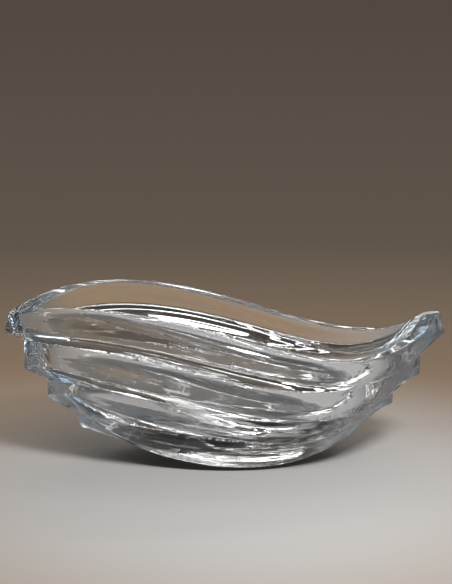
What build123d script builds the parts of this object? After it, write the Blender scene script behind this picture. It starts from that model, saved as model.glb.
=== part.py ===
from build123d import *
import os
from dataclasses import dataclass, replace
from math import radians, sqrt, tan

# A clear glass bowl in the form of a wave. In plan it is a pointed oval, cut square across both ends.
# From the side its rim rises to a crest on the left (-X) and dips to a trough on the right (+X).
# Four glass tiers are bonded one on the other. Each tier stands out over the narrower tier below it, and is
# undercut from its sharp lower edge to that tier, so the outside steps in like lapped planks.
# X runs along the bowl, Y across it, Z up. The origin is on the table, under the middle of the rim.
# All sizes are in millimetres and all angles in degrees.

# Rim tier: its upper outer edge, then its lower edge
rim_length = 346.0
rim_width = 176.0
rim_end_rise = 6.0
rim_mid_rise = 1.0
rim_wave = 20.0
rim_end_angle = 55.0
rim_face_height = 21.0
rim_face_lean = 4.5
rim_lower_end_rise = 10.5
rim_lower_mid_rise = 2.5
rim_lower_wave = 19.0

# Second tier
second_end_step = 17.5
second_side_step = 12.0
second_shift = 2.0
second_undercut_drop = 8.0
second_face_height = 23.5
second_end_rise = 12.0
second_mid_rise = -2.0
second_wave = 15.0
second_end_angle = 53.0

# Third tier
third_end_step = 20.0
third_side_step = 12.5
third_shift = 1.5
third_undercut_drop = 6.0
third_face_height = 18.5
third_end_rise = 10.0
third_mid_rise = -3.0
third_wave = 10.5
third_end_angle = 51.0

# Base tier: its top, its draft down to the table, the rocker under it and the foot
base_end_step = 22.0
base_side_step = 13.0
base_shift = 1.0
base_undercut_drop = 6.0
base_height = 29.5
base_end_rise = 7.0
base_mid_rise = -1.0
base_wave = 5.0
base_end_angle = 47.0
base_end_draft = 16.0
base_side_draft = 4.0
rocker_height = 3.0
rocker_rise = 22.0
foot_length = 128.0
foot_width = 77.0
foot_flare = 6.0
foot_root_height = 11.0

# Flat across the end of every tier
end_flat = 10.0

# Inner edge of the rim, which stands above the outer edge at mid length and along the trough
rim_side_wall = 9.0
rim_end_wall = 14.0
inner_edge_end_rise = 4.0
inner_edge_mid_rise = 4.0
inner_edge_wave = 19.5

# Inside of the bowl
second_wall = 10.5
third_wall = 11.5
base_wall = 14.0
end_wall_extra = 6.0
floor_thickness = 14.0
floor_end_inset = 28.0
floor_side_inset = 11.0

# Thickness of the clear adhesive between two tiers
bond_line = 0.1

# The tiers are first formed this many walls deep, and the space over the bowl is this high and this much wider
core_ratio = 2.5
mouth_height = 20.0
mouth_spread = 6.0


@dataclass(frozen=True)
class Ring:
    """A closed line round the bowl: a pointed oval in plan, which rises to a crest and dips to a trough.

    The level is midway between crest and trough. The rises of the ends and the middle are from it.
    """

    length: float
    width: float
    end_angle: float
    level: float
    end_rise: float = 0.0
    mid_rise: float = 0.0
    wave: float = 0.0
    centre: float = 0.0

    def inside(self, ends, sides, **changes):
        """The ring that lies this far in from the ends and the sides."""
        return replace(self, length=self.length - 2 * ends, width=self.width - 2 * sides, **changes)

    def below(self, gap):
        """The same ring, lower by a gap."""
        return replace(self, level=self.level - gap)

    def flat(self, level):
        """A level ring with the same plan."""
        return replace(self, level=level, end_rise=0.0, mid_rise=0.0, wave=0.0)

    def through(self, other, share):
        """The ring on the line from this one through the other, at a share of the way between them."""
        names = ("length", "width", "level", "end_rise", "mid_rise", "wave")
        values = {name: getattr(self, name) for name in names}
        return replace(
            self, **{name: value + share * (getattr(other, name) - value) for name, value in values.items()}
        )

    def back(self):
        """The long side at the back: five control points of one quartic curve give the plan and the wave."""
        half_length = self.length / 2
        half_flat = end_flat / 2
        bow = (4 * self.width - half_flat) / 7
        handle = (bow - half_flat) / tan(radians(self.end_angle))
        swing = 1.5 * sqrt(3) * self.wave
        end = self.level + self.end_rise
        shoulder = self.level - 1.5 * self.end_rise - 2 * self.mid_rise
        middle = self.level + (16 * self.mid_rise + 5 * self.end_rise) / 3
        return [
            (self.centre - half_length, half_flat, end),
            (self.centre - half_length + handle, bow, shoulder + swing),
            (self.centre, bow, middle),
            (self.centre + half_length - handle, bow, shoulder - swing),
            (self.centre + half_length, half_flat, end),
        ]

    def wire(self):
        """The whole line: the two long sides, joined by the flats across the ends."""
        back = self.back()
        front = [(x, -y, z) for x, y, z in back]
        with BuildLine() as outline:
            Bezier(*front)
            Line(front[-1], back[-1])
            Bezier(*reversed(back))
            Line(back[0], front[0])
        return outline.wire()


def glass_block(*rings):
    """A block with straight walls from ring to ring. Its first and last rings are level."""
    return Solid.make_loft([ring.wire() for ring in rings], ruled=True)


def glass_hoop(*rings):
    """A closed hoop with straight walls from ring to ring, and from the last ring to the first."""
    wires = [ring.wire() for ring in rings]
    return Solid.make_loft([*wires, wires[0]], ruled=True)


# Levels of the corners of the outside, from the table up
third_lower_level = base_height + base_undercut_drop
third_level = third_lower_level + third_face_height
second_lower_level = third_level + third_undercut_drop
second_level = second_lower_level + second_face_height
rim_lower_level = second_level + second_undercut_drop
rim_level = rim_lower_level + rim_face_height

# Corners of the outside, from the rim down
rim_top = Ring(rim_length, rim_width, rim_end_angle, rim_level, rim_end_rise, rim_mid_rise, rim_wave)
rim_lower = rim_top.inside(
    -rim_face_lean,
    -rim_face_lean,
    level=rim_lower_level,
    end_rise=rim_lower_end_rise,
    mid_rise=rim_lower_mid_rise,
    wave=rim_lower_wave,
)
second_top = rim_lower.inside(
    second_end_step,
    second_side_step,
    end_angle=second_end_angle,
    level=second_level,
    end_rise=second_end_rise,
    mid_rise=second_mid_rise,
    wave=second_wave,
    centre=-second_shift,
)
second_lower = replace(second_top, level=second_lower_level)
third_top = second_lower.inside(
    third_end_step,
    third_side_step,
    end_angle=third_end_angle,
    level=third_level,
    end_rise=third_end_rise,
    mid_rise=third_mid_rise,
    wave=third_wave,
    centre=second_lower.centre - third_shift,
)
third_lower = replace(third_top, level=third_lower_level)
base_top = third_lower.inside(
    base_end_step,
    base_side_step,
    end_angle=base_end_angle,
    level=base_height,
    end_rise=base_end_rise,
    mid_rise=base_mid_rise,
    wave=base_wave,
    centre=third_lower.centre - base_shift,
)
base_root = base_top.inside(base_end_draft, base_side_draft).flat(0.0)
foot = Ring(foot_length, foot_width, base_end_angle, 0.0, centre=base_top.centre)
foot_root = foot.inside(-foot_flare, -foot_flare).flat(foot_root_height)

# Lines on the inside of the bowl: at the rim, at the joints between the tiers, on the floor and over the bowl
inner_rim = rim_top.inside(
    rim_end_wall,
    rim_side_wall,
    end_rise=inner_edge_end_rise,
    mid_rise=inner_edge_mid_rise,
    wave=inner_edge_wave,
)
inner_second = second_top.inside(second_wall + end_wall_extra, second_wall)
inner_third = third_top.inside(third_wall + end_wall_extra, third_wall)
inner_base = base_top.inside(base_wall + end_wall_extra, base_wall)
inner_floor = inner_base.inside(floor_end_inset, floor_side_inset).flat(floor_thickness)
mouth = inner_rim.inside(-mouth_spread, -mouth_spread).flat(rim_level + rim_wave + mouth_height)

# Lines in the space inside the bowl, which the tiers reach before that space is taken out of them
core_rim = rim_top.through(inner_rim, core_ratio)
core_second = second_top.through(inner_second, core_ratio)
core_third = third_top.through(inner_third, core_ratio)
core_base = base_top.through(inner_base, core_ratio).flat(base_height)

# The space inside the bowl, flared a little less in each tier up to the rim
bowl_inside = glass_block(inner_floor, inner_base, inner_third, inner_second, inner_rim, mouth)

with BuildPart() as rim_tier:
    add(glass_hoop(rim_top, rim_lower, second_top, core_second, core_rim))
    add(bowl_inside, mode=Mode.SUBTRACT)

with BuildPart() as second_tier:
    add(
        glass_hoop(
            second_top.below(bond_line), second_lower, third_top, core_third, core_second.below(bond_line)
        )
    )
    add(bowl_inside, mode=Mode.SUBTRACT)

with BuildPart() as third_tier:
    add(
        glass_hoop(third_top.below(bond_line), third_lower, base_top, core_base, core_third.below(bond_line))
    )
    add(bowl_inside, mode=Mode.SUBTRACT)

# The base tier is a dish. The space under its rocker is cut straight across, and then the foot is added.
rocker = replace(
    base_top,
    level=rocker_height + rocker_rise / 3,
    end_rise=rocker_rise * 2 / 3,
    mid_rise=-rocker_rise / 3,
    wave=0.0,
)
rocker_line = [(x, z) for x, y, z in rocker.back()]
rocker_start, rocker_end = rocker_line[0], rocker_line[-1]

with BuildPart() as base_dish:
    add(glass_block(core_base.below(bond_line), base_top.below(bond_line), base_root))
    with BuildSketch(Plane.XZ):
        with BuildLine():
            Bezier(*rocker_line)
            Polyline(rocker_end, (rocker_end[0], -rocker_height), (rocker_start[0], -rocker_height), rocker_start)
        make_face()
    extrude(amount=base_top.width, both=True, mode=Mode.SUBTRACT)
    add(glass_block(foot_root, foot))
    add(bowl_inside, mode=Mode.SUBTRACT)

rim_tier.part.label = "rim_tier"
second_tier.part.label = "second_tier"
third_tier.part.label = "third_tier"
base_dish.part.label = "base_dish"

os.makedirs("parts", exist_ok=True)
export_step(rim_tier.part, "parts/rim_tier.step")
export_step(second_tier.part, "parts/second_tier.step")
export_step(third_tier.part, "parts/third_tier.step")
export_step(base_dish.part, "parts/base_dish.step")
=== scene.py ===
"""A stepped glass wave bowl: four tiers of clear glass, bonded one on the other, in the CAD frame."""

import math
from typing import NamedTuple

import bmesh
import bpy
from bpy.props import FloatProperty, FloatVectorProperty, IntProperty, PointerProperty
from mathutils import Euler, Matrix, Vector


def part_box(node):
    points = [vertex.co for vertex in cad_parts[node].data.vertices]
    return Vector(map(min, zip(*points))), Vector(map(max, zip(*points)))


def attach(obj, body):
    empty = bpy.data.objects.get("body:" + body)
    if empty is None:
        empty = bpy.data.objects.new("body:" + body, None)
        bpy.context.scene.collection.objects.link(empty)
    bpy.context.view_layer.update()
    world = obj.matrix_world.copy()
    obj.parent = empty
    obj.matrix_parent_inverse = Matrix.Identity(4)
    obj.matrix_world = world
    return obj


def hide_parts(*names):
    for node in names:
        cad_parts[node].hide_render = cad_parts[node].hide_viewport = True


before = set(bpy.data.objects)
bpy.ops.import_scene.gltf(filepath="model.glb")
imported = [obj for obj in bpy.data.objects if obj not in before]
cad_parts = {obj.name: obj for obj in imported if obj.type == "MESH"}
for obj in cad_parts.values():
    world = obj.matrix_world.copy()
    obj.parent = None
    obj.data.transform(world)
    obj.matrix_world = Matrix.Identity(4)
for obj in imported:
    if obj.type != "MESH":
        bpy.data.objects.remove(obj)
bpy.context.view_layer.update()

bl_info = {
    "name": "Glass Wave Bowl",
    "version": (1, 0, 0),
    "blender": (4, 5, 0),
    "location": "View3D > Sidebar > Wave Bowl",
    "description": "Builds the tiers of a stepped glass wave bowl, their glass and a studio stage",
    "category": "Add Mesh",
}

MM = 0.001
BODY = "root"
WELD_DISTANCE = 1e-6


# Rings: the closed lines round the bowl that every tier is drawn between


def side_bow(width, half_flat):
    """How far out the inner control points of a long side lie, for its ring to have this width."""
    return (width * 4.0 - half_flat) / 7.0


class Ring(NamedTuple):
    """A closed line round the bowl, a pointed oval in plan, which rises to a crest and dips to a trough.

    The level is midway between crest and trough, and the rises of the ends and the middle are from it.
    The handle is how far the curve of a long side reaches in before it turns along the bowl.
    The lifts raise the curve close to its left and right ends, and leave the ends where they are.
    The drop is how far the right end lies below the left one.
    """

    length: float
    width: float
    handle: float
    level: float
    end_rise: float
    mid_rise: float
    wave: float
    centre: float
    left_lift: float = 0.0
    right_lift: float = 0.0
    right_drop: float = 0.0

    def towards(self, other, share):
        """The ring at a share of the way to another one."""
        return Ring(*(here + share * (there - here) for here, there in zip(self, other)))

    def below(self, gap):
        """The same ring, lower by a gap."""
        return self._replace(level=self.level - gap)

    def shrunk(self, share):
        """The same ring at a share of its size in plan."""
        length, width, handle = share * self.length, share * self.width, share * self.handle
        return self._replace(length=length, width=width, handle=handle)

    def apart(self, other):
        """How far another ring lies from this one, at mid length."""
        across = (other.width - self.width) / 2
        up = other.level + other.mid_rise - self.level - self.mid_rise
        return math.hypot(across, up)


class Plan(NamedTuple):
    """The outline of a ring seen from above."""

    length: float
    width: float
    end_angle: float
    centre: float

    def inside(self, ends, sides):
        """The outline that lies this far in from the ends and the sides."""
        return self._replace(length=self.length - 2 * ends, width=self.width - 2 * sides)

    def ring(self, end_flat, level, end_rise=0.0, mid_rise=0.0, wave=0.0):
        """The ring with this outline, at a level and with a wave."""
        half_flat = end_flat / 2
        handle = (side_bow(self.width, half_flat) - half_flat) / math.tan(self.end_angle)
        return Ring(self.length, self.width, handle, level, end_rise, mid_rise, wave, self.centre)


def node_plan(node, end_angle):
    """The outline of a CAD node's box, with the angle at which its long sides leave its ends."""
    low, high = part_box(node)
    return Plan(high[0] - low[0], high[1] - low[1], end_angle, (low[0] + high[0]) / 2)


# Settings that a user can change


def size(name, description, millimetres):
    """A length in the settings."""
    return FloatProperty(
        name=name,
        description=description,
        default=millimetres * MM,
        precision=5,
        subtype="DISTANCE",
        unit="LENGTH",
    )


def angle(name, description, degrees):
    """An angle in the settings."""
    return FloatProperty(
        name=name, description=description, default=math.radians(degrees), subtype="ANGLE", unit="ROTATION"
    )


def share(name, description, default):
    """A number from 0 to 1 in the settings."""
    return FloatProperty(
        name=name, description=description, default=default, min=0.0, max=1.0, precision=3, subtype="FACTOR"
    )


def colour(name, description, red, green, blue):
    """A linear colour in the settings."""
    return FloatVectorProperty(
        name=name,
        description=description,
        default=(red, green, blue),
        size=3,
        min=0.0,
        max=1.0,
        subtype="COLOR",
    )


def number(name, description, default, least):
    """A plain number in the settings."""
    return FloatProperty(name=name, description=description, default=default, min=least)


def count(name, description, default, least):
    """A whole number in the settings."""
    return IntProperty(name=name, description=description, default=default, min=least)


class RimTierSizes(bpy.types.PropertyGroup):
    """The rim tier, whose outline comes from the frame."""

    end_angle: angle("End angle", "Angle at which the long sides leave the ends", 55)
    level: size("Level", "Height of the upper outer edge, midway between crest and trough", 112.5)
    end_rise: size("End rise", "How far the ends stand above the level", 6)
    mid_rise: size("Middle rise", "How far the middle stands above the level", 1)
    wave: size("Wave", "Rise of the crest and dip of the trough", 20)
    lean: size("Lean", "How far the face leans in from its lower edge to its upper one", 4.5)
    lower_level: size("Lower level", "Height of the lower edge", 91.5)
    lower_end_rise: size("Lower end rise", "How far the lower edge's ends stand above its level", 10.5)
    lower_mid_rise: size("Lower middle rise", "How far the lower edge's middle stands above its level", 2.5)
    lower_wave: size("Lower wave", "Rise and dip of the lower edge", 19)
    lower_right_lift: size("Lower right lift", "How far the lower edge is raised close to its right end", 7)
    end_wall: size("End wall", "Thickness of the rim at the ends", 14)
    side_wall: size("Side wall", "Thickness of the rim along the sides", 9)
    inner_end_rise: size("Inner end rise", "How far the inner edge's ends stand above the level", 4)
    inner_mid_rise: size("Inner middle rise", "How far the inner edge's middle stands above the level", 4)
    inner_wave: size("Inner wave", "Rise and dip of the inner edge", 19.5)


class SecondTierSizes(bpy.types.PropertyGroup):
    """The second tier, whose outline comes from the frame."""

    end_angle: angle("End angle", "Angle at which the long sides leave the ends", 53)
    level: size("Level", "Height of the joint with the rim tier", 83.5)
    end_rise: size("End rise", "How far the ends stand above the level", 12)
    mid_rise: size("Middle rise", "How far the middle stands above the level", -2)
    wave: size("Wave", "Rise of the crest and dip of the trough", 15)
    lower_level: size("Lower level", "Height of the lower edge", 60)
    lower_end_rise: size("Lower end rise", "How far the lower edge's ends stand above its level", 12)
    lower_left_lift: size("Lower left lift", "How far the lower edge is raised close to its left end", 4)
    lower_right_lift: size("Lower right lift", "How far the lower edge is raised close to its right end", 6)
    lower_right_drop: size("Lower right drop", "How far the lower edge's right end lies below its left", 4.8)
    wall: size("Wall", "Thickness along the sides", 10.5)


class ThirdTierSizes(bpy.types.PropertyGroup):
    """The third tier, whose outline comes from the frame."""

    end_angle: angle("End angle", "Angle at which the long sides leave the ends", 51)
    level: size("Level", "Height of the joint with the second tier", 54)
    end_rise: size("End rise", "How far the ends stand above the level", 10)
    mid_rise: size("Middle rise", "How far the middle stands above the level", -3)
    wave: size("Wave", "Rise of the crest and dip of the trough", 10.5)
    lower_level: size("Lower level", "Height of the lower edge", 35.5)
    lower_end_rise: size("Lower end rise", "How far the lower edge's ends stand above its level", 13)
    lower_left_lift: size("Lower left lift", "How far the lower edge is raised close to its left end", 8)
    lower_right_lift: size("Lower right lift", "How far the lower edge is raised close to its right end", 5)
    lower_right_drop: size("Lower right drop", "How far the lower edge's right end lies below its left", 5.4)
    wall: size("Wall", "Thickness along the sides", 11.5)


class BaseDishSizes(bpy.types.PropertyGroup):
    """The base dish, whose outline comes from the frame."""

    end_angle: angle("End angle", "Angle at which the long sides leave the ends", 47)
    level: size("Level", "Height of the joint with the third tier", 29.5)
    end_rise: size("End rise", "How far the ends stand above the level", 7)
    mid_rise: size("Middle rise", "How far the middle stands above the level", -1)
    wave: size("Wave", "Rise of the crest and dip of the trough", 5)
    wall: size("Wall", "Thickness along the sides", 14)
    lower_end_draft: size("Lower end draft", "Inset of the lower edge from the joint, at the ends", 6)
    lower_side_draft: size("Lower side draft", "Inset of the lower edge from the joint, at the sides", 3.6)
    rocker_height: size("Rocker height", "Height of the underside at mid length", 4)
    rocker_end_height: size("Rocker end height", "Height of the lower edge at the ends", 23)
    rocker_wave: size("Rocker wave", "How far the lower edge rises on the left and dips on the right", 4.5)
    rocker_left_lift: size("Rocker left lift", "How far the lower edge is raised close to its left end", 7)
    rocker_right_drop: size("Rocker right drop", "How far the lower edge's right end lies below its left", 2)
    floor_end_inset: size("Floor end inset", "Inset of the floor from the inner joint, at the ends", 28)
    floor_side_inset: size("Floor side inset", "Inset of the floor from the inner joint, at the sides", 11)
    floor_thickness: size("Floor thickness", "Height of the floor over the table", 14)
    foot_length: size("Foot length", "Length of the face that stands on the table", 86)
    foot_width: size("Foot width", "Width of the face that stands on the table", 74)
    foot_end_flare: size("Foot end flare", "Spread of the foot towards the rocker at its ends", 16)
    foot_side_flare: size("Foot side flare", "Spread of the foot towards the rocker at its sides", 1.6)
    foot_end_height: size("Foot end height", "Height at which the ends of the foot meet the rocker", 6)


class GlassForming(bpy.types.PropertyGroup):
    """What all the tiers share."""

    end_flat: size("End flat", "Flat across the ends of every tier", 10)
    end_wall_extra: size("End wall extra", "How much thicker the walls are at the ends", 6)
    bond_line: size("Bond line", "Thickness of the clear adhesive between two tiers", 0.1)
    edge_radius: size("Edge radius", "Rounding of the polished edges", 1.6)
    corner_radius: size("Corner radius", "Rounding of the upright edges beside the end flats", 1.6)
    floor_radius: size("Floor radius", "Rounding between the wall and the floor inside", 22)
    face_swell: size("Face swell", "How far the outer faces swell out between their edges", 2.6)
    undercut_sink: size("Undercut sink", "How far the undercuts are hollowed between their edges", 0.8)
    side_points: count("Side points", "Points along a long side", 180, 8)
    edge_steps: count("Edge steps", "Steps round a polished edge", 6, 2)
    face_steps: count("Face steps", "Steps across a face", 12, 2)
    wall_steps: count("Wall steps", "Steps down the inside wall of a tier", 8, 2)


class GlassLook(bpy.types.PropertyGroup):
    """The clear glass."""

    tint: colour("Tint", "Colour that the glass gives to what is seen through it", 0.91, 0.925, 0.935)
    # The end colour is a painted blue-grey reflection, not a colour of the clear glass
    painted_end_reflection: colour("End tint", "Painted blue-grey reflection that darkens the glass towards the ends", 0.51, 0.635, 0.75)
    ior: number("Refraction", "Index of refraction", 1.52, 1.0)
    roughness: share("Roughness", "Roughness of the polished faces", 0.0)
    ripple: size("Ripple", "Height of the flow lines that pressing leaves in the faces", 0.25)


class StageLook(bpy.types.PropertyGroup):
    """The floor, the backdrop and the lamps."""

    floor: colour("Floor", "Colour of the floor", 0.44, 0.43, 0.42)
    floor_glow: share("Floor glow", "How light the floor stays in the shadow", 0.04)
    backdrop_low: colour("Low backdrop", "Backdrop at table height", 0.34, 0.24, 0.155)
    backdrop_middle: colour("Middle backdrop", "Backdrop behind the bowl", 0.115, 0.091, 0.071)
    backdrop_high: colour("High backdrop", "Backdrop overhead", 0.060, 0.050, 0.042)
    ambient: number("Ambient", "Strength of the light from all round", 0.06, 0.0)


class WaveBowlSettings(bpy.types.PropertyGroup):
    """Every setting of the bowl and its stage."""

    rim: PointerProperty(name="Rim tier", type=RimTierSizes)
    second: PointerProperty(name="Second tier", type=SecondTierSizes)
    third: PointerProperty(name="Third tier", type=ThirdTierSizes)
    base: PointerProperty(name="Base dish", type=BaseDishSizes)
    forming: PointerProperty(name="Forming", type=GlassForming)
    glass: PointerProperty(name="Glass", type=GlassLook)
    stage: PointerProperty(name="Stage", type=StageLook)


# Corners of the tiers, outside and inside


class BowlRings(NamedTuple):
    """The rings at the corners of the tiers."""

    rim_top: Ring
    rim_lower: Ring
    second_top: Ring
    second_lower: Ring
    third_top: Ring
    third_lower: Ring
    base_top: Ring
    base_lower: Ring
    foot_edge: Ring
    foot: Ring
    inner_rim: Ring
    inner_second: Ring
    inner_third: Ring
    inner_base: Ring
    inner_floor: Ring


def bowl_rings(settings):
    """Works out the rings from the frame and the settings."""
    rim, second, third, base = settings.rim, settings.second, settings.third, settings.base
    flat = settings.forming.end_flat
    extra = settings.forming.end_wall_extra

    def joint(node, tier):
        """The outer and inner rings of the joint on top of a tier."""
        plan = node_plan(node, tier.end_angle)
        heights = (tier.level, tier.end_rise, tier.mid_rise, tier.wave)
        return plan.ring(flat, *heights), plan.inside(tier.wall + extra, tier.wall).ring(flat, *heights)

    def lower_edge(top, tier):
        """The ring at the lower edge of a tier with an upright face."""
        return top._replace(
            level=tier.lower_level,
            end_rise=tier.lower_end_rise,
            left_lift=tier.lower_left_lift,
            right_lift=tier.lower_right_lift,
            right_drop=tier.lower_right_drop,
        )

    def rocker_ring(plan, end_height):
        """A ring on the rocker, lowest at mid length, with its level at a third of the rise of its ends."""
        rise = end_height - base.rocker_height
        return plan.ring(flat, base.rocker_height + rise / 3, rise * 2 / 3, -rise / 3)

    rim_plan = node_plan("rim_tier", rim.end_angle)
    rim_top_plan = rim_plan.inside(rim.lean, rim.lean)
    inner_rim_plan = rim_top_plan.inside(rim.end_wall, rim.side_wall)
    rim_lower_heights = (rim.lower_level, rim.lower_end_rise, rim.lower_mid_rise, rim.lower_wave)
    inner_rim_heights = (rim.level, rim.inner_end_rise, rim.inner_mid_rise, rim.inner_wave)

    second_top, inner_second = joint("second_tier", second)
    third_top, inner_third = joint("third_tier", third)
    base_top, inner_base = joint("base_dish", base)

    base_plan = node_plan("base_dish", base.end_angle)
    base_lower_plan = base_plan.inside(base.lower_end_draft, base.lower_side_draft)
    foot_plan = base_plan._replace(length=base.foot_length, width=base.foot_width)
    foot_edge_plan = foot_plan.inside(-base.foot_end_flare, -base.foot_side_flare)
    floor_end_inset = base.wall + extra + base.floor_end_inset
    floor_plan = base_plan.inside(floor_end_inset, base.wall + base.floor_side_inset)

    return BowlRings(
        rim_top=rim_top_plan.ring(flat, rim.level, rim.end_rise, rim.mid_rise, rim.wave),
        rim_lower=rim_plan.ring(flat, *rim_lower_heights)._replace(right_lift=rim.lower_right_lift),
        second_top=second_top,
        second_lower=lower_edge(second_top, second),
        third_top=third_top,
        third_lower=lower_edge(third_top, third),
        base_top=base_top,
        base_lower=rocker_ring(base_lower_plan, base.rocker_end_height)._replace(
            wave=base.rocker_wave, left_lift=base.rocker_left_lift, right_drop=base.rocker_right_drop
        ),
        foot_edge=rocker_ring(foot_edge_plan, base.foot_end_height),
        foot=foot_plan.ring(flat, 0.0),
        inner_rim=inner_rim_plan.ring(flat, *inner_rim_heights),
        inner_second=inner_second,
        inner_third=inner_third,
        inner_base=inner_base,
        inner_floor=floor_plan.ring(flat, base.floor_thickness),
    )


# Sections: lists of rings, from which the glass is swept

# The most that place * place * (1 - place) comes to, which is at two thirds
SWELL_PEAK = 4 / 27
# The most of a face that the rounding of one edge takes up
ROUNDING_LIMIT = 0.4
# The size of the middle of the foot and of the floor, as a share of the whole
MIDDLE_SHARE = 0.6
# The swell of the rim's narrow top, as a share of the swell of the outer faces
RIM_SWELL_SHARE = 1 / 3


def face_ring(start, end, place, swell):
    """A ring at a place from 0 to 1 on the face between two others, which swells out most at two thirds."""
    ring = start.towards(end, place)
    bulge = swell * place * place * (1 - place) / SWELL_PEAK
    return ring._replace(width=ring.width + 2 * bulge)


def moulded(corners, swells, radius, forming):
    """A section with a face from corner to corner, each with its own swell, and with rounded corners."""
    section = []
    last = len(corners) - 2
    for index, swell in enumerate(swells):
        start, end = corners[index], corners[index + 1]
        rounding = min(radius / start.apart(end), ROUNDING_LIMIT)
        first_place = rounding if index else 0.0
        last_place = 1.0 - rounding if index < last else 1.0
        face = []
        for step in range(forming.face_steps + 1):
            place = first_place + (last_place - first_place) * step / forming.face_steps
            face.append(face_ring(start, end, place, swell))
        if section:
            before = section[-1]
            for step in range(1, forming.edge_steps):
                turn = step / forming.edge_steps
                section.append(before.towards(start, turn).towards(start.towards(face[0], turn), turn))
        section += face
    return section


def smooth_wall(before, start, end, after, steps):
    """Rings from one joint to the next on a wall that runs smoothly on above and below."""
    wall = []
    for step in range(steps + 1):
        t = step / steps
        early = before.towards(start, t + 1)
        middle = start.towards(end, t)
        late = end.towards(after, t - 1)
        upper = early.towards(middle, (t + 1) / 2)
        lower = middle.towards(late, t / 2)
        wall.append(upper.towards(lower, t))
    return wall


# The sweep: a node tree that draws the surface through the rings of a section

FLOW = "flow"
# The most that the weights of the two shoulders differ by
WAVE_PEAK = 2 / (3 * math.sqrt(3))
# The higher this power is, the closer to the ends the lifts lie
LIFT_POWER = 14.0
# The most that u * v ** LIFT_POWER comes to
LIFT_PEAK = LIFT_POWER**LIFT_POWER / (LIFT_POWER + 1.0) ** (LIFT_POWER + 1.0)
# Steps round an upright edge beside an end flat, and the share of the long side that it takes up
CORNER_STEPS = 4
CORNER_SHARE = 0.004
# An edge where the surface turns by more than this stays sharp
SHARP_ANGLE = math.radians(30)


class Field:
    """A number in a node tree. Sums and products of fields add Math nodes to the tree."""

    def __init__(self, tree, socket):
        self.tree = tree
        self.socket = socket

    def math(self, operation, *others, clamp=False):
        """The result of a Math node on this field and others."""
        node = self.tree.nodes.new("ShaderNodeMath")
        node.operation = operation
        node.use_clamp = clamp
        for socket, value in zip(node.inputs, (self, *others)):
            if isinstance(value, Field):
                self.tree.links.new(value.socket, socket)
            else:
                socket.default_value = value
        return Field(self.tree, node.outputs[0])

    def __add__(self, other):
        return self.math("ADD", other)

    def __sub__(self, other):
        return self.math("SUBTRACT", other)

    def __mul__(self, other):
        return self.math("MULTIPLY", other)

    def __truediv__(self, other):
        return self.math("DIVIDE", other)

    def __mod__(self, other):
        return self.math("FLOORED_MODULO", other)

    def __floordiv__(self, other):
        return (self / other).math("FLOOR")

    def clamped(self):
        """The field, held between 0 and 1."""
        return self.math("ADD", 0.0, clamp=True)

    def flipped(self):
        """One less the field."""
        return self * -1.0 + 1.0


def add_node(tree, kind, links=None, **settings):
    """Adds a node, with its settings and the links into its named inputs."""
    node = tree.nodes.new(kind)
    for name, value in settings.items():
        setattr(node, name, value)
    for name, value in (links or {}).items():
        if isinstance(value, (bpy.types.NodeSocket, Field)):
            tree.links.new(getattr(value, "socket", value), node.inputs[name])
        else:
            node.inputs[name].default_value = value
    return node


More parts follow.
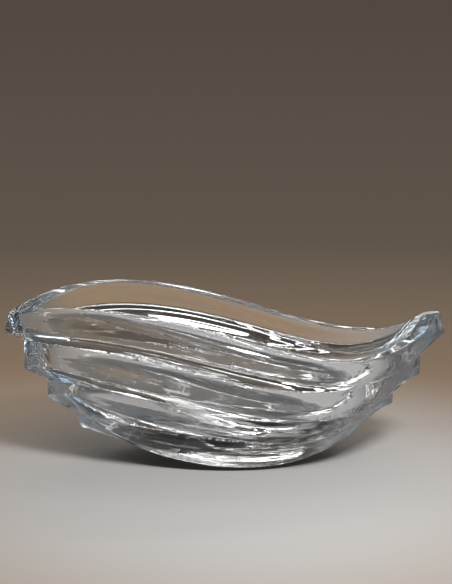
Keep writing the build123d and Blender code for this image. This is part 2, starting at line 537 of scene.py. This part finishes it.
def glass_sweep_tree():
    """The node tree that sweeps a section round the bowl. Each point of its input is one of the rings."""
    tree = bpy.data.node_groups.new("glass_sweep", "GeometryNodeTree")
    tree.interface.new_socket("Section", in_out="INPUT", socket_type="NodeSocketGeometry")
    for name, kind in (
        ("Side Points", "NodeSocketInt"),
        ("Corner Steps", "NodeSocketInt"),
        ("End Flat", "NodeSocketFloat"),
        ("Corner Radius", "NodeSocketFloat"),
        ("Corner Share", "NodeSocketFloat"),
        ("Glass", "NodeSocketMaterial"),
    ):
        tree.interface.new_socket(name, in_out="INPUT", socket_type=kind)
    tree.interface.new_socket("Surface", in_out="OUTPUT", socket_type="NodeSocketGeometry")
    given = tree.nodes.new("NodeGroupInput").outputs

    side_points = Field(tree, given["Side Points"])
    corner_steps = Field(tree, given["Corner Steps"])
    half_flat = Field(tree, given["End Flat"]) / 2.0
    corner_radius = Field(tree, given["Corner Radius"])
    corner_share = Field(tree, given["Corner Share"])

    # Points of the grid: one row for each ring, and a last column that closes on the first
    counted = add_node(tree, "GeometryNodeAttributeDomainSize", {0: given["Section"]})
    rings = Field(tree, counted.outputs["Point Count"])
    half_round = side_points + corner_steps * 2.0
    grid = add_node(
        tree, "GeometryNodeMeshGrid", {"Vertices X": half_round * 2.0 + 1.0, "Vertices Y": rings}
    ).outputs["Mesh"]
    index = Field(tree, tree.nodes.new("GeometryNodeInputIndex").outputs[0])
    row = index % rings
    column = (index // rings) % (half_round * 2.0)

    # The front is drawn from left to right and the back from right to left
    at_back = column // half_round
    along = column % half_round
    place = along + at_back * (half_round - 1.0 - along * 2.0)
    side = at_back * 2.0 - 1.0
    from_left = (corner_steps - place) / corner_steps
    from_right = (place - half_round + 1.0 + corner_steps) / corner_steps
    turn = from_left.math("MAXIMUM", from_right).clamped()
    run = ((place - corner_steps) / (side_points - 1.0)).clamped()
    u = corner_share + run * (corner_share * 2.0).flipped()
    end_side = (place * 2.0).math("GREATER_THAN", half_round) * 2.0 - 1.0

    def of_ring(name):
        """A value of the ring in this row."""
        named = add_node(tree, "GeometryNodeInputNamedAttribute", {"Name": name}, data_type="FLOAT")
        sample = add_node(
            tree,
            "GeometryNodeSampleIndex",
            {"Geometry": given["Section"], "Value": named.outputs["Attribute"], "Index": row},
            data_type="FLOAT",
            domain="POINT",
        )
        return Field(tree, sample.outputs[0])

    ring = Ring(*(of_ring(name) for name in Ring._fields))
    reach = of_ring("reach")

    # Control points of the long side, one quartic curve. Its middle lies at the middle rise, and its crest
    # and its trough lie a wave above and below the level
    half_length = ring.length / 2.0
    bow = side_bow(ring.width, half_flat)
    swing = ring.wave / WAVE_PEAK
    end = ring.level + ring.end_rise
    shoulder = ring.level - ring.end_rise * 1.5 - ring.mid_rise * 2.0
    middle = ring.level + (ring.mid_rise * 16.0 + ring.end_rise * 5.0) / 3.0

    # Weights of the control points
    v = u.flipped()
    left_end = v.math("POWER", 4.0)
    left = u * v.math("POWER", 3.0) * 4.0
    centre = u * u * v * v * 6.0
    right = u.math("POWER", 3.0) * v * 4.0
    right_end = u.math("POWER", 4.0)
    ends, shoulders = left_end + right_end, left + right

    x = half_length * (right_end - left_end) + (half_length - ring.handle) * (right - left)
    y = half_flat * ends + bow * (shoulders + centre)
    z = end * ends + shoulder * shoulders + swing * (left - right) + middle * centre

    # Weights of the lifts, which are 1 at their highest, and of the drop, which is 1 at the right end
    near_left = u * v.math("POWER", LIFT_POWER) / LIFT_PEAK
    at_right = u.math("POWER", LIFT_POWER)
    near_right = v * at_right / LIFT_PEAK
    z = z + ring.left_lift * near_left + ring.right_lift * near_right

    # The corner beside the end flat is turned on a quadratic curve
    on_side = turn.flipped() * turn.flipped()
    on_corner = turn * turn.flipped() * 2.0
    on_flat = turn * turn
    across = on_side * y + on_corner * half_flat + on_flat * (half_flat - corner_radius)
    position = add_node(
        tree,
        "ShaderNodeCombineXYZ",
        {
            "X": ring.centre + on_side * x + on_side.flipped() * end_side * half_length,
            "Y": across * side,
            "Z": on_side * z + on_side.flipped() * end - ring.right_drop * at_right,
        },
    )
    flow = add_node(tree, "ShaderNodeCombineXYZ", {"X": run, "Y": reach, "Z": side})
    marked = add_node(
        tree,
        "GeometryNodeStoreNamedAttribute",
        {"Geometry": grid, "Name": FLOW, "Value": flow.outputs[0]},
        data_type="FLOAT_VECTOR",
        domain="POINT",
    )
    drawn = add_node(
        tree, "GeometryNodeSetPosition", {"Geometry": marked.outputs[0], "Position": position.outputs[0]}
    )
    closed = add_node(
        tree, "GeometryNodeMergeByDistance", {"Geometry": drawn.outputs[0], "Distance": WELD_DISTANCE}
    )
    smooth = add_node(tree, "GeometryNodeSetShadeSmooth", {"Geometry": closed.outputs[0]})
    plain = add_node(tree, "GeometryNodeRealizeInstances", {"Geometry": smooth.outputs[0]})
    glazed = add_node(
        tree, "GeometryNodeSetMaterial", {"Geometry": plain.outputs[0], "Material": given["Glass"]}
    )
    add_node(tree, "NodeGroupOutput", {"Surface": glazed.outputs[0]})
    return tree


def swept(section, material, forming):
    """The surface through the rings of a section, as a plain mesh."""
    tree = bpy.data.node_groups.get("glass_sweep") or glass_sweep_tree()
    points = bpy.data.meshes.new("section")
    points.vertices.add(len(section))
    for name in Ring._fields:
        values = points.attributes.new(name, "FLOAT", "POINT")
        values.data.foreach_set("value", [getattr(ring, name) for ring in section])
    reach = [section[0].level]
    for before, after in zip(section, section[1:]):
        reach.append(reach[-1] + before.apart(after))
    points.attributes.new("reach", "FLOAT", "POINT").data.foreach_set("value", reach)
    holder = bpy.data.objects.new("section", points)
    bpy.context.scene.collection.objects.link(holder)

    sweep = holder.modifiers.new("Sweep", "NODES")
    sweep.node_group = tree
    given = {
        "Side Points": forming.side_points,
        "Corner Steps": CORNER_STEPS,
        "End Flat": forming.end_flat,
        "Corner Radius": forming.corner_radius,
        "Corner Share": CORNER_SHARE,
        "Glass": material,
    }
    for socket in tree.interface.items_tree:
        if socket.name in given:
            sweep[socket.identifier] = given[socket.name]

    shown = holder.evaluated_get(bpy.context.evaluated_depsgraph_get())
    surface = bpy.data.meshes.new_from_object(shown)
    holder.modifiers.remove(sweep)
    bpy.data.objects.remove(holder)
    bpy.data.meshes.remove(points)
    return surface


def glass_tier(node, polished, bonded, settings):
    """Builds a closed tier from its polished and its bonded sections, in the place of its CAD node."""
    materials = [polished_glass(settings.glass), bonded_face()]
    tier = bmesh.new()
    for material_index, sections in enumerate((polished, bonded)):
        for section in sections:
            surface = swept(section, materials[material_index], settings.forming)
            first = len(tier.faces)
            tier.from_mesh(surface)
            tier.faces.ensure_lookup_table()
            for face in tier.faces[first:]:
                face.material_index = material_index
            bpy.data.meshes.remove(surface)
    bmesh.ops.remove_doubles(tier, verts=tier.verts, dist=WELD_DISTANCE)
    rims = [edge for edge in tier.edges if edge.is_boundary]
    if rims:
        bmesh.ops.holes_fill(tier, edges=rims, sides=0)
    bmesh.ops.recalc_face_normals(tier, faces=tier.faces)
    if any(not edge.is_manifold for edge in tier.edges):
        raise RuntimeError(f"{node} isn't closed")

    mesh = bpy.data.meshes.new(node)
    tier.to_mesh(mesh)
    tier.free()
    for material in materials:
        mesh.materials.append(material)
    mesh.polygons.foreach_set("use_smooth", [True] * len(mesh.polygons))
    mesh.set_sharp_from_angle(angle=SHARP_ANGLE)
    piece = bpy.data.objects.new(f"glass_{node}", mesh)
    bpy.context.scene.collection.objects.link(piece)
    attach(piece, BODY)
    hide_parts(node)


def middle_tier(node, outer, inner, settings):
    """Builds a tier between two others.

    The outer rings are the joint under the tier, its lower edge and the joint on top of it.
    The inner rings are the joints from one above the tier to one below it.
    """
    forming = settings.forming
    lower_joint, lower_edge, upper_joint = outer
    top = upper_joint.below(forming.bond_line)
    swells = [-forming.undercut_sink, forming.face_swell]
    outside = moulded([lower_joint, lower_edge, top], swells, forming.edge_radius, forming)
    inside = smooth_wall(*inner, forming.wall_steps)
    inside[0] = inside[0].below(forming.bond_line)
    bonds = [[top, inside[0]], [inside[-1], lower_joint]]
    glass_tier(node, [outside, inside], bonds, settings)


# Materials

# How fast the ripple changes along the flow, down the section and from the front to the back
RIPPLE_SCALE = (1.2, 240.0, 7.0)
RIPPLE_DETAIL = 1.0
# The ripple is strong at the lower of two heights and faint at the upper one
RIPPLE_HEIGHTS = (10 * MM, 60 * MM)
RIPPLE_STRENGTHS = (3.0, 0.5)
# Where the tint turns into the painted blue-grey reflection of the ends, from the middle of a long side at 0
# to its ends at 1
PAINTED_END_REFLECTION_RANGE = (0.72, 0.94)


def ramp(tree, value, span, results=(0.0, 1.0), interpolation="LINEAR"):
    """A field that goes from one result to the other while a value goes over a span."""
    node = add_node(
        tree,
        "ShaderNodeMapRange",
        {
            "Value": value,
            "From Min": span[0],
            "From Max": span[1],
            "To Min": results[0],
            "To Max": results[1],
        },
        interpolation_type=interpolation,
    )
    return Field(tree, node.outputs[0])


def new_material(name):
    """A material with an empty node tree and its output node."""
    material = bpy.data.materials.new(name)
    material.use_nodes = True
    material.node_tree.nodes.clear()
    return material, material.node_tree, material.node_tree.nodes.new("ShaderNodeOutputMaterial")


def polished_glass(look):
    """Clear glass with the ripple that pressing leaves, and with a painted blue-grey reflection that darkens
    it towards the ends.
    """
    material = bpy.data.materials.get("polished_glass")
    if material:
        return material
    material, tree, output = new_material("polished_glass")
    along = add_node(tree, "ShaderNodeAttribute", attribute_name=FLOW).outputs["Vector"]
    drawn_out = add_node(tree, "ShaderNodeMapping", {"Vector": along, "Scale": RIPPLE_SCALE})
    ripple = add_node(
        tree, "ShaderNodeTexNoise", {"Vector": drawn_out.outputs[0], "Scale": 1.0, "Detail": RIPPLE_DETAIL}
    )
    where = add_node(tree, "ShaderNodeTexCoord").outputs["Object"]
    level = add_node(tree, "ShaderNodeSeparateXYZ", {0: where}).outputs["Z"]
    height = Field(tree, ripple.outputs[0]) * ramp(tree, level, RIPPLE_HEIGHTS, RIPPLE_STRENGTHS)
    bump = add_node(tree, "ShaderNodeBump", {"Height": height, "Strength": 1.0, "Distance": look.ripple})
    run = Field(tree, add_node(tree, "ShaderNodeSeparateXYZ", {0: along}).outputs["X"])
    from_middle = (run * 2.0 - 1.0).math("ABSOLUTE")
    # Inputs 6 and 7 and output 2 of a Mix node are its colours
    # The glass tint, turning into a painted blue-grey reflection towards the ends
    tint = add_node(
        tree,
        "ShaderNodeMix",
        {
            "Factor": ramp(tree, from_middle, PAINTED_END_REFLECTION_RANGE, interpolation="SMOOTHSTEP"),
            6: (*look.tint, 1.0),
            7: (*look.painted_end_reflection, 1.0),
        },
        data_type="RGBA",
    )
    glass = add_node(
        tree,
        "ShaderNodeBsdfPrincipled",
        {
            "Base Color": tint.outputs[2],
            "Roughness": look.roughness,
            "IOR": look.ior,
            "Transmission Weight": 1.0,
            "Normal": bump.outputs[0],
        },
    )
    tree.links.new(glass.outputs[0], output.inputs["Surface"])
    return material


def bonded_face():
    """A face against the next tier, where the adhesive lets the light straight through."""
    material = bpy.data.materials.get("bonded_face")
    if material:
        return material
    material, tree, output = new_material("bonded_face")
    clear = add_node(tree, "ShaderNodeBsdfTransparent")
    tree.links.new(clear.outputs[0], output.inputs["Surface"])
    return material


# Operators


class WAVEBOWL_OT_rim_tier(bpy.types.Operator):
    """Build the rim tier, whose top edge is the wave"""

    bl_idname = "wave_bowl.rim_tier"
    bl_label = "Rim Tier"
    bl_options = {"REGISTER", "UNDO"}

    def execute(self, context):
        settings = context.scene.wave_bowl
        forming = settings.forming
        rings = bowl_rings(settings)
        # As far above the rim as the next joint lies below it
        beyond = rings.inner_second.towards(rings.inner_rim, 2)
        inner = [beyond, rings.inner_rim, rings.inner_second, rings.inner_third]
        wall = smooth_wall(*inner, forming.wall_steps)
        corners = [rings.second_top, rings.rim_lower, rings.rim_top, *wall[:2]]
        swell = forming.face_swell
        swells = [-forming.undercut_sink, swell, RIM_SWELL_SHARE * swell, 0.0]
        polished = moulded(corners, swells, forming.edge_radius, forming) + wall[2:]
        glass_tier("rim_tier", [polished], [[rings.inner_second, rings.second_top]], settings)
        return {"FINISHED"}


class WAVEBOWL_OT_second_tier(bpy.types.Operator):
    """Build the second tier, under the rim"""

    bl_idname = "wave_bowl.second_tier"
    bl_label = "Second Tier"
    bl_options = {"REGISTER", "UNDO"}

    def execute(self, context):
        settings = context.scene.wave_bowl
        rings = bowl_rings(settings)
        outer = [rings.third_top, rings.second_lower, rings.second_top]
        inner = [rings.inner_rim, rings.inner_second, rings.inner_third, rings.inner_base]
        middle_tier("second_tier", outer, inner, settings)
        return {"FINISHED"}


class WAVEBOWL_OT_third_tier(bpy.types.Operator):
    """Build the third tier, over the base"""

    bl_idname = "wave_bowl.third_tier"
    bl_label = "Third Tier"
    bl_options = {"REGISTER", "UNDO"}

    def execute(self, context):
        settings = context.scene.wave_bowl
        rings = bowl_rings(settings)
        outer = [rings.base_top, rings.third_lower, rings.third_top]
        inner = [rings.inner_second, rings.inner_third, rings.inner_base, rings.inner_floor]
        middle_tier("third_tier", outer, inner, settings)
        return {"FINISHED"}


class WAVEBOWL_OT_base_dish(bpy.types.Operator):
    """Build the base dish, with its floor, its rocker and its foot"""

    bl_idname = "wave_bowl.base_dish"
    bl_label = "Base Dish"
    bl_options = {"REGISTER", "UNDO"}

    def execute(self, context):
        settings = context.scene.wave_bowl
        forming = settings.forming
        rings = bowl_rings(settings)
        top = rings.base_top.below(forming.bond_line)
        foot_face = rings.foot.shrunk(MIDDLE_SHARE)
        outer = [foot_face, rings.foot, rings.foot_edge, rings.base_lower, top]
        outside = moulded(outer, [0.0, 0.0, 0.0, forming.face_swell], forming.edge_radius, forming)
        inner_top = rings.inner_base.below(forming.bond_line)
        floor_middle = rings.inner_floor.shrunk(MIDDLE_SHARE)
        inner = [inner_top, rings.inner_floor, floor_middle]
        inside = moulded(inner, [0.0, 0.0], forming.floor_radius, forming)
        glass_tier("base_dish", [outside, inside], [[top, inner_top]], settings)
        return {"FINISHED"}


# Stage

CAMERA_PLACE = Vector((0.0012, -1.2625, 0.3751))
CAMERA_TILT = math.radians(10.79)
CAMERA_LENS = 98.5
FLOOR_REACH = 1.5
FLOOR_SIDES = 96
# Just under the foot, so that their faces don't lie in one plane
FLOOR_PLACE = Vector((0.0, -0.08, -0.3 * MM))
# Distances from the middle of the floor between which it fades out
FLOOR_FADE = (0.08, 0.44)
# Heights of a line of sight of length 1, from the low end of the backdrop to its high end
BACKDROP_SPAN = (-0.30, 0.10)
# Where its middle colour lies, from 0 at the low end to 1 at the high end
BACKDROP_MIDDLE = 0.36
AMBIENT_COLOUR = (1.0, 0.98, 0.95, 1.0)
LIGHT_BOUNCES = 24
LAMP_TARGET = Vector((0.0, 0.0, 0.06))
LAMP_REACH = 1.1
# Name, azimuth and elevation in degrees, width and height in metres, and watts
LAMPS = (
    ("lamp_back_1", 90, 3, 1.0, 0.012, 0.5),
    ("lamp_back_2", 90, 10, 1.0, 0.012, 0.5),
    ("lamp_back_3", 90, 18, 1.0, 0.012, 0.5),
    ("lamp_back_4", 90, 26, 1.0, 0.02, 0.7),
    ("lamp_back_5", 90, 36, 1.0, 0.02, 0.7),
    ("lamp_back_6", 90, 50, 1.0, 0.05, 1.7),
    ("lamp_over", 90, 78, 0.9, 0.04, 0.7),
    ("lamp_front", 270, 55, 0.9, 0.05, 1.7),
    ("lamp_key", 300, 45, 0.2, 0.2, 13.0),
    ("lamp_right", 0, 30, 0.04, 0.6, 0.4),
)


def shown_rays(tree):
    """1 for what the camera sees, also in and through the glass, and 0 for what only lights the scene."""
    path = add_node(tree, "ShaderNodeLightPath")
    shown = Field(tree, path.outputs["Is Camera Ray"])
    for ray in ("Is Glossy Ray", "Is Transmission Ray"):
        shown = shown.math("MAXIMUM", Field(tree, path.outputs[ray]))
    return shown


def floor_finish(look):
    """The floor's matt finish, which is not quite black in the shadow and fades out far from the bowl."""
    material, tree, output = new_material("stage_floor")
    where = add_node(tree, "ShaderNodeTexCoord").outputs["Object"]
    far = add_node(tree, "ShaderNodeVectorMath", {0: where}, operation="LENGTH")
    fade = ramp(tree, far.outputs["Value"], FLOOR_FADE, interpolation="SMOOTHSTEP")
    matt = add_node(tree, "ShaderNodeBsdfDiffuse", {"Color": (*look.floor, 1.0)})
    glow = add_node(
        tree,
        "ShaderNodeEmission",
        {"Color": (*look.floor, 1.0), "Strength": shown_rays(tree) * look.floor_glow},
    )
    lit = add_node(tree, "ShaderNodeAddShader", {0: matt.outputs[0], 1: glow.outputs[0]})
    gone = add_node(tree, "ShaderNodeBsdfTransparent")
    mixed = add_node(tree, "ShaderNodeMixShader", {0: fade, 1: lit.outputs[0], 2: gone.outputs[0]})
    tree.links.new(mixed.outputs[0], output.inputs["Surface"])
    return material


def add_floor(look):
    """A round floor under the foot."""
    disc = bmesh.new()
    bmesh.ops.create_circle(disc, cap_ends=True, segments=FLOOR_SIDES, radius=FLOOR_REACH)
    mesh = bpy.data.meshes.new("stage_floor")
    disc.to_mesh(mesh)
    disc.free()
    mesh.materials.append(floor_finish(look))
    floor = bpy.data.objects.new("stage_floor", mesh)
    floor.location = FLOOR_PLACE
    bpy.context.scene.collection.objects.link(floor)


def add_lamp(name, azimuth, elevation, width, height, watts):
    """A soft rectangular lamp that faces the bowl."""
    turn = Euler((0.0, -math.radians(elevation), math.radians(azimuth)))
    place = LAMP_TARGET + turn.to_matrix() @ Vector((LAMP_REACH, 0.0, 0.0))
    data = bpy.data.lights.new(name, "AREA")
    data.shape = "RECTANGLE"
    data.size, data.size_y = width, height
    data.energy = watts
    lamp = bpy.data.objects.new(name, data)
    lamp.location = place
    lamp.rotation_euler = (LAMP_TARGET - place).to_track_quat("-Z", "Y").to_euler()
    lamp.visible_camera = False
    bpy.context.scene.collection.objects.link(lamp)


def set_backdrop(look):
    """A soft backdrop, light at table height and dark overhead, which the glass shows as well."""
    world = bpy.data.worlds.new("studio")
    bpy.context.scene.world = world
    world.use_nodes = True
    tree = world.node_tree
    tree.nodes.clear()
    direction = add_node(tree, "ShaderNodeTexCoord").outputs["Generated"]
    parts = add_node(tree, "ShaderNodeSeparateXYZ", {0: direction})
    graded = add_node(tree, "ShaderNodeValToRGB", {0: ramp(tree, parts.outputs["Z"], BACKDROP_SPAN)})
    stops = graded.color_ramp.elements
    stops[0].color = (*look.backdrop_low, 1.0)
    stops[1].color = (*look.backdrop_high, 1.0)
    stops.new(BACKDROP_MIDDLE).color = (*look.backdrop_middle, 1.0)
    seen = add_node(tree, "ShaderNodeBackground", {"Color": graded.outputs[0], "Strength": 1.0})
    light = add_node(tree, "ShaderNodeBackground", {"Color": AMBIENT_COLOUR, "Strength": look.ambient})
    mixed = add_node(
        tree, "ShaderNodeMixShader", {0: shown_rays(tree), 1: light.outputs[0], 2: seen.outputs[0]}
    )
    output = add_node(tree, "ShaderNodeOutputWorld")
    tree.links.new(mixed.outputs[0], output.inputs["Surface"])


class WAVEBOWL_OT_stage(bpy.types.Operator):
    """Set up the floor, the backdrop, the lamps and the camera"""

    bl_idname = "wave_bowl.stage"
    bl_label = "Stage"
    bl_options = {"REGISTER", "UNDO"}

    def execute(self, context):
        scene = context.scene
        look = scene.wave_bowl.stage
        add_floor(look)
        set_backdrop(look)
        for lamp in LAMPS:
            add_lamp(*lamp)

        data = bpy.data.cameras.new("camera")
        data.lens = CAMERA_LENS
        camera = bpy.data.objects.new("camera", data)
        camera.location = CAMERA_PLACE
        camera.rotation_euler = (math.radians(90) - CAMERA_TILT, 0.0, 0.0)
        scene.collection.objects.link(camera)
        scene.camera = camera

        scene.view_settings.view_transform = "Standard"
        scene.cycles.caustics_refractive = False
        scene.cycles.caustics_reflective = False
        scene.cycles.max_bounces = LIGHT_BOUNCES
        scene.cycles.transmission_bounces = LIGHT_BOUNCES
        scene.cycles.glossy_bounces = LIGHT_BOUNCES
        scene.cycles.transparent_max_bounces = 2 * LIGHT_BOUNCES
        return {"FINISHED"}


class WAVEBOWL_PT_sidebar(bpy.types.Panel):
    """The bowl's pieces and stage in the sidebar"""

    bl_idname = "WAVEBOWL_PT_sidebar"
    bl_label = "Glass Wave Bowl"
    bl_space_type = "VIEW_3D"
    bl_region_type = "UI"
    bl_category = "Wave Bowl"

    def draw(self, context):
        settings = context.scene.wave_bowl
        for operator in OPERATORS:
            self.layout.operator(operator.bl_idname)
        for part in settings.__annotations__:
            box = self.layout.box()
            box.label(text=settings.bl_rna.properties[part].name)
            group = getattr(settings, part)
            for name in group.__annotations__:
                box.prop(group, name)


OPERATORS = (
    WAVEBOWL_OT_rim_tier,
    WAVEBOWL_OT_second_tier,
    WAVEBOWL_OT_third_tier,
    WAVEBOWL_OT_base_dish,
    WAVEBOWL_OT_stage,
)
CLASSES = (
    RimTierSizes,
    SecondTierSizes,
    ThirdTierSizes,
    BaseDishSizes,
    GlassForming,
    GlassLook,
    StageLook,
    WaveBowlSettings,
    *OPERATORS,
    WAVEBOWL_PT_sidebar,
)


def register():
    for each in CLASSES:
        bpy.utils.register_class(each)
    bpy.types.Scene.wave_bowl = PointerProperty(type=WaveBowlSettings)


def unregister():
    del bpy.types.Scene.wave_bowl
    for each in reversed(CLASSES):
        bpy.utils.unregister_class(each)


def main():
    register()
    bpy.ops.wave_bowl.rim_tier()
    bpy.ops.wave_bowl.second_tier()
    bpy.ops.wave_bowl.third_tier()
    bpy.ops.wave_bowl.base_dish()
    bpy.ops.wave_bowl.stage()


if __name__ == "__main__":
    main()
